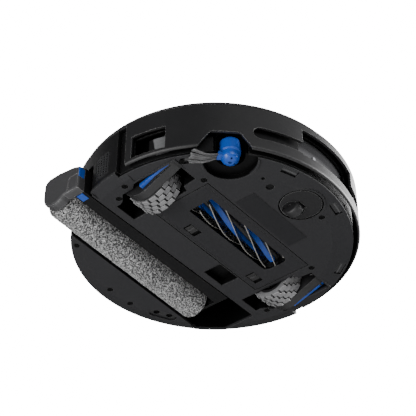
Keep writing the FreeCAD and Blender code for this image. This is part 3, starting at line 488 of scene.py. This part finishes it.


# ---------------------------------------------------------------- materials by slot and by node
# every plastic below gets a painted highlight along its edges and painted shade in its crevices
MATERIALS = {
    "charcoal_plastic": plastic(
        "charcoal_shell", (0.0125, 0.0125, 0.0135), rough=0.40, pit_scale=1300.0, edge_highlight=0.6),
    "base_plastic": plastic("base_plate", (0.0100, 0.0100, 0.0112), pit_scale=1000.0, cloud=0.2),
    "top_plastic": plastic("top_satin", (0.020, 0.020, 0.0215), rough=0.55, pit_scale=1500.0, specular=0.2),
    "sensor_gloss": plastic(
        "sensor_window_gloss", (0.004, 0.004, 0.005), rough=0.16, soft_edge=0.0004, coat=0.6, **LENS_SKIN),
    "grey_window": plastic(
        "pale_grey_window", (0.13, 0.132, 0.136), rough=0.4, pit_scale=600.0, cloud=0.1, dust=0.02),
    # painted glint: the pale grey stands for light caught on the black lenses
    "lens": plastic("lens_painted_glint", (0.30, 0.30, 0.32), rough=0.12, soft_edge=0.0002, coat=0.8, **LENS_SKIN),
    "blue_plastic": plastic(
        "blue_satin", (0.003, 0.060, 0.36), rough=0.36, pit_scale=1200.0, cloud=0.12, dust=0.02, edge_highlight=0.3,
        crevice_shade=0.6),
    # painted highlight along the tread blocks' edges, and painted shade between them
    "wheel_rubber": plastic(
        "tread_rubber_grey", (0.20, 0.20, 0.205), rough=0.45, pit_scale=1500.0, cloud=0.3, dust=0.06,
        pit_depth=0.00015, soft_edge=0.0004, edge_highlight=1.0, edge_highlight_tint=0.6, crevice_shade=0.9),
    "hub_plastic": plastic("hub_dark", (0.010, 0.010, 0.011), rough=0.46, pit_scale=1100.0),
    "bristle": plastic("nylon_bristle_grey", (0.20, 0.20, 0.205), rough=0.36, edge_highlight=0.2, crevice_shade=0.4),
    "brush_fin": bristle_row_material(),
    "brush_core": plastic("roller_core_dark", (0.006, 0.006, 0.0065)),
    "mop_cloth": plastic("mop_backing_cloth", (0.25, 0.25, 0.25), rough=0.9),
    "screw_black": plastic(
        "blackened_screw", (0.0015, 0.0015, 0.0015), rough=0.35, pit_scale=1500.0, cloud=0.1, dust=0.0,
        edge_highlight=0.05, specular=0.1),
    "circuit_green": plastic("circuit_lacquer_green", (0.015, 0.09, 0.04), rough=0.35, pit_scale=300.0),
    "battery_wrap": plastic("battery_wrap_blue", (0.015, 0.04, 0.12), rough=0.4, pit_scale=300.0),
    "tank_clear": plastic("smoked_tank", (0.06, 0.075, 0.10), rough=0.2, **SMOOTH),
    "bin_plastic": plastic("smoked_bin", (0.04, 0.04, 0.045), rough=0.25, **SMOOTH),
    "label_grey": plastic(
        "blank_plate_grey", (0.0170, 0.0170, 0.0188), rough=0.42, pit_scale=1600.0, edge_highlight=0.1, specular=0.12),
    "light_ring": plastic(
        "light_diffuser", (0.55, 0.6, 0.66), rough=0.3, pit_scale=600.0, cloud=0.1, dust=0.0),
    "white_plastic": plastic("off_white_plastic", (0.42, 0.43, 0.45), pit_scale=700.0),
    "steel": metal("machined_steel", (0.55, 0.55, 0.56)),
    "contact_metal": metal("plated_contact", (0.75, 0.60, 0.32), rough=0.25),
}

LATCH_MATERIAL = cover_latch_material()

NODE_MATERIALS = {
    "chassis_base": chassis_material(),
    "brush_cover": brush_cover_material(),
    "body_shell": rear_shell_material(),
    "vent_grille": vent_material(),
    "bumper": bumper_material(),
    "mop_end_cap": mop_cap_material(),
    "mop_carriage_frame": mop_tray_material(),
    "side_sensor_panel": side_window_material(),
    "front_sensor_panel": front_window_material(),
    "cliff_sensor_windows": cliff_window_material(),
    "right_cover_latch": LATCH_MATERIAL,
    "left_cover_latch": LATCH_MATERIAL,
    "caster_swivel": caster_material(),
}


def dress_cad_nodes():
    """Gives every node of the CAD its own material, or else the one of its slot."""
    slot_of = {part["node"]: part["material_slot"] for part in frame["record"]["subparts"]}
    for name, obj in NODES.items():
        obj.data.materials.clear()
        obj.data.materials.append(NODE_MATERIALS.get(name) or MATERIALS[slot_of[name]])


# ---------------------------------------------------------------- building helpers
def mesh_from(bm, name):
    bmesh.ops.recalc_face_normals(bm, faces=bm.faces)
    mesh = bpy.data.meshes.new(name)
    bm.to_mesh(mesh)
    bm.free()
    return mesh


def place(name, data):
    obj = bpy.data.objects.new(name, data)
    bpy.context.scene.collection.objects.link(obj)
    return obj


def finished_piece(name, bm, body, material, smooth=True):
    """Turns built geometry into a piece that rides on a body."""
    mesh = mesh_from(bm, name)
    mesh.materials.append(material)
    for face in mesh.polygons:
        face.use_smooth = smooth
    obj = place(name, mesh)
    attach(obj, body)
    return obj


def bridge(bm, a, b):
    """Joins two rings of points with quads."""
    for i in range(len(a)):
        j = (i + 1) % len(a)
        bm.faces.new((a[i], a[j], b[j], b[i]))


def loft(bm, rings):
    """A closed solid through rings of points, with a flat face at each end."""
    rows = [[bm.verts.new(point) for point in ring] for ring in rings]
    for a, b in zip(rows, rows[1:]):
        bridge(bm, a, b)
    bm.faces.new(rows[0])
    bm.faces.new(list(reversed(rows[-1])))


def about_x(x, radius, angle):
    """A point at an angle about the X axis."""
    return Vector((x, radius * math.cos(angle), radius * math.sin(angle)))


# ---------------------------------------------------------------- mop roller
def pile_stations():
    """Places along the roller, each with its radius; both ends are rounded."""
    stations = [(PILE_START, MOP_RADIUS - PILE_THICKNESS)]
    for i in range(PILE_ALONG + 1):
        x = PILE_START + (PILE_END - PILE_START) * i / PILE_ALONG
        from_end = min(x - PILE_START, PILE_END - x)
        drop = 0.0
        if from_end < PILE_END_ROUND:
            rise = max(0.0, PILE_END_ROUND ** 2 - (PILE_END_ROUND - from_end) ** 2)
            drop = PILE_END_ROUND - math.sqrt(rise)
        stations.append((x, MOP_RADIUS - drop))
    stations.append((PILE_END, MOP_RADIUS - PILE_THICKNESS))
    return stations


def loop_height(x, angle):
    """How far the loops of yarn stand out here, from about -1 to 1."""
    spot = about_x(x, 0.021, angle)
    return noise.noise(spot * YARN_SCALE) * 0.6 + noise.noise(spot * LUMP_SCALE) * 0.4


def mop_pile():
    """The fabric sleeve: a rounded cylinder whose surface is knobbly with loops of yarn."""
    bm = bmesh.new()
    rings = []
    for x, radius in pile_stations():
        ring = []
        for k in range(PILE_AROUND):
            a = 2 * math.pi * k / PILE_AROUND
            r = radius + LOOP_HEIGHT * loop_height(x, a)
            across = MOP_SIDE * (r * math.cos(a)) + Vector((0, 0, r * math.sin(a)))
            ring.append(MOP_CENTRE + MOP_AXIS * x + across)
        rings.append(ring)
    loft(bm, rings)
    pile = finished_piece("mop_pile_sleeve", bm, "mop_roller", mop_pile_material())
    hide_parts("mop_fabric")


# ---------------------------------------------------------------- drive tyres
def tyre_band(bm, centre):
    """The plain band that carries the tread blocks."""
    band, bore = TYRE_RADIUS - BAND_DEPTH, TYRE_RADIUS - BORE_DEPTH
    side = TYRE_WIDTH / 2 - BAND_INSET
    profile = [(-side, bore), (-side, band), (side, band), (side, bore)]
    rows = []
    for k in range(BAND_STEPS):
        a = 2 * math.pi * k / BAND_STEPS
        rows.append([bm.verts.new(centre + about_x(x, r, a)) for x, r in profile])
    for a, b in zip(rows, rows[1:] + rows[:1]):
        bridge(bm, a, b)


def tread_block(bm, centre, x0, x1, a0, a1):
    """One block; its top slopes down from a sharp leading edge, so the tread looks stepped."""
    foot, heel = TYRE_RADIUS - BLOCK_FOOT_DEPTH, TYRE_RADIUS - BLOCK_HEEL_DROP
    corners = ((foot, a0), (TYRE_RADIUS, a0 + BLOCK_DRAFT), (heel, a1 - BLOCK_DRAFT), (foot, a1))
    loft(bm, [[centre + about_x(x, r, a) for r, a in corners] for x in (x0, x1)])


def tyre_tread(name, side, body):
    """A band with rings of blocks, each ring turned a little further round than its neighbour."""
    low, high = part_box(name)
    centre = (Vector(low) + Vector(high)) / 2
    bm = bmesh.new()
    tyre_band(bm, centre)
    width = TYRE_WIDTH / TREAD_COLUMNS
    pitch = 2 * math.pi / TREAD_ROWS
    for column in range(TREAD_COLUMNS):
        x0 = -TYRE_WIDTH / 2 + width * column + BLOCK_GAP
        x1 = x0 + width - 2 * BLOCK_GAP
        for row in range(TREAD_ROWS):
            start = pitch * (row + TREAD_LEAN * side * column)
            tread_block(bm, centre, x0, x1, start, start + pitch * BLOCK_SHARE)
    made = finished_piece(name + "_tread", bm, body, MATERIALS["wheel_rubber"], smooth=False)
    bevel = made.modifiers.new("soft_edges", "BEVEL")
    bevel.width = BLOCK_EDGE
    bevel.segments = 2
    bevel.limit_method = "ANGLE"
    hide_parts(name)


# ---------------------------------------------------------------- side brush
def strand(bm, path):
    """One flat tapering bristle along a path of points."""
    rings = []
    for i, centre in enumerate(path):
        ahead = path[min(i + 1, len(path) - 1)] - path[max(i - 1, 0)]
        side = ahead.cross(Vector((0, 0, 1))).normalized()
        up = side.cross(ahead).normalized()
        taper = 1 - HAIR_TAPER * i / (len(path) - 1)
        w, h = HAIR_WIDTH * taper / 2, HAIR_THICKNESS * taper / 2
        rings.append([centre + side * w, centre + up * h, centre - side * w, centre - up * h])
    loft(bm, rings)


def bristle_height(reach):
    """The bundles slope down out of the hub and then run level above the floor."""
    t = min(1.0, max(0.0, (BEND_REACH - reach) / (BEND_REACH - HAIR_ROOT)))
    return FLOOR_RUN_Z + (ROOT_Z - FLOOR_RUN_Z) * t ** 1.35


def bristle_path(turn, spread, level, length):
    """The points of one bristle, from its root to its tip."""
    path = []
    for k in range(HAIR_STEPS + 1):
        reach = HAIR_ROOT + length * k / HAIR_STEPS
        a = math.radians(turn + (FAN_AT_ROOT + FAN_ADDED * k / HAIR_STEPS) * spread)
        aside = Vector((-math.sin(a), math.cos(a), 0)) * BUNDLE_HALF_WIDTH * spread
        outward = Vector((reach * math.cos(a), reach * math.sin(a), bristle_height(reach) + level))
        path.append(SIDE_CENTRE + aside + outward)
    return path


def side_brush_bristles():
    """Two bundles; each bundle is two flat rows with a gap between them."""
    rng = random.Random(BRISTLE_SEED)
    bm = bmesh.new()
    for turn in BUNDLE_TURNS:
        for _ in range(HAIRS_PER_BUNDLE):
            spread = (rng.random() - 0.5) * 2
            spread = math.copysign(ROW_GAP + (1 - ROW_GAP) * abs(spread), spread)
            level = (rng.random() - 0.5) * BUNDLE_DEPTH
            tip = HAIR_REACH - OUTER_HAIR_SHORTER * abs(spread)
            length = tip - HAIR_ROOT + UNEVEN_TIPS * rng.random()
            strand(bm, bristle_path(turn, spread, level, length))
    made = finished_piece("side_brush_bristle_bundles", bm, "side_brush", MATERIALS["bristle"])
    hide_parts("side_brush_bristles")


# ---------------------------------------------------------------- camera, light, stage
def set_camera():
    data = bpy.data.cameras.new("view_from_below")
    data.sensor_width = CAMERA_SENSOR
    data.lens = CAMERA_LENS
    data.clip_end = 20.0
    camera = place("view_from_below", data)
    camera.location = CAMERA_PLACE
    camera.rotation_euler = [math.radians(a) for a in CAMERA_TURN]
    bpy.context.scene.camera = camera


def area_light(name, spot, target, width, height, power):
    data = bpy.data.lights.new(name, "AREA")
    data.shape = "RECTANGLE"
    data.size = width
    data.size_y = height
    data.energy = power
    lamp = place(name, data)
    lamp.location = spot
    lamp.rotation_euler = (Vector(target) - Vector(spot)).to_track_quat("-Z", "Y").to_euler()
    lamp.visible_camera = False


def set_lights():
    area_light("key_softbox", (-1.7, 0.2, -0.65), TARGET, 0.8, 0.8, 26.0)
    area_light("under_softbox", (-0.50, 0.10, -0.45), (-0.12, 0.08, 0.0), 0.3, 0.3, 0.7)
    area_light("front_softbox", (-0.9, -1.6, 0.3), TARGET, 1.0, 0.6, 14.0)
    area_light("rim_softbox", (1.28, 0.17, 1.05), TARGET, 1.4, 1.0, 34.0)
    area_light("edge_softbox", (1.15, -0.98, 0.36), TARGET, 1.2, 0.5, 90.0)
    area_light("top_softbox", (0.3, 0.9, 1.6), TARGET, 1.2, 1.2, 14.0)


def set_room():
    """A dim white room that looks bright to the camera."""
    world = bpy.data.worlds.new("studio_white")
    bpy.context.scene.world = world
    world.use_nodes = True
    tree = world.node_tree
    surface = tree.nodes["Background"]
    surface.inputs["Color"].default_value = (1, 1, 1, 1)
    seen = node(tree, "LightPath")
    strength = ramp(tree, seen.outputs["Is Camera Ray"], 0, 1, ROOM_LIGHT, BACKDROP_LIGHT)
    tree.links.new(strength, surface.inputs["Strength"])


def set_floor():
    bm = bmesh.new()
    sides = ((-1, -1), (1, -1), (1, 1), (-1, 1))
    bm.faces.new([bm.verts.new((x * FLOOR_HALF, y * FLOOR_HALF, FLOOR_Z)) for x, y in sides])
    mesh = mesh_from(bm, "studio_floor")
    mesh.materials.append(
        plastic("floor_paint", (0.8, 0.8, 0.8), rough=0.9, pit_scale=5.0, cloud=0.02, dust=0.0))
    place("studio_floor", mesh)


dress_cad_nodes()
mop_pile()
tyre_tread("right_tyre", 1, "right_wheel")
tyre_tread("left_tyre", -1, "left_wheel")
side_brush_bristles()
set_camera()
set_room()
set_floor()
set_lights()
